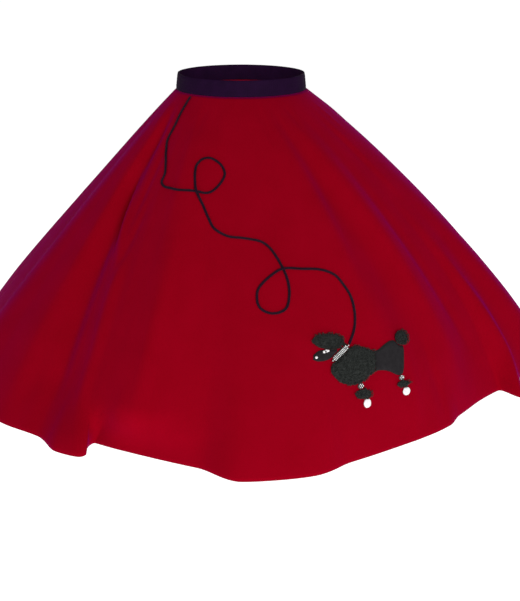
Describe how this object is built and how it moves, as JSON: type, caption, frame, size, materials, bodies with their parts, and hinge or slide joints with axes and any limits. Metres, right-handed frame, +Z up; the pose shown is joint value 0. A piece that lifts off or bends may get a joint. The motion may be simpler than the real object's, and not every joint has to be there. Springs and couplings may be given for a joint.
{
  "type": "circle skirt",
  "caption": "Filled-out circle skirt of red felt with a dark elastic waistband, and a poodle on a curling leash sewn on the front.",
  "frame": {"origin": "middle of the waist opening, half way up the waistband, where the wearer's waist holds the skirt", "axes": "front faces -Y, +Z up along the wearer's body, +X to the wearer's left"},
  "size_m": [1.0065, 0.984, 0.4601],
  "materials": {
    "felt": "matt crimson felt with a short nap and a faint violet sheen at grazing angles",
    "band": "very dark navy ribbed elastic",
    "leash": "dark narrow braid, slightly glinting",
    "poodle": "charcoal curly pile",
    "silver": "silver beaded trim",
    "paw": "white felt"
  },
  "bodies": {
    "root": {"skirt_front": "felt", "skirt_back": "felt", "waistband": "band", "leash": "leash", "poodle_mane": "poodle", "poodle_hips": "poodle", "poodle_head": "poodle", "poodle_topknot": "poodle", "poodle_tail": "poodle", "poodle_cuff_front": "poodle", "poodle_cuff_hind": "poodle", "poodle_collar": "silver", "poodle_anklet_front": "silver", "poodle_anklet_hind": "silver", "poodle_paw_front": "paw", "poodle_paw_hind": "paw"}
  },
  "joints": []
}
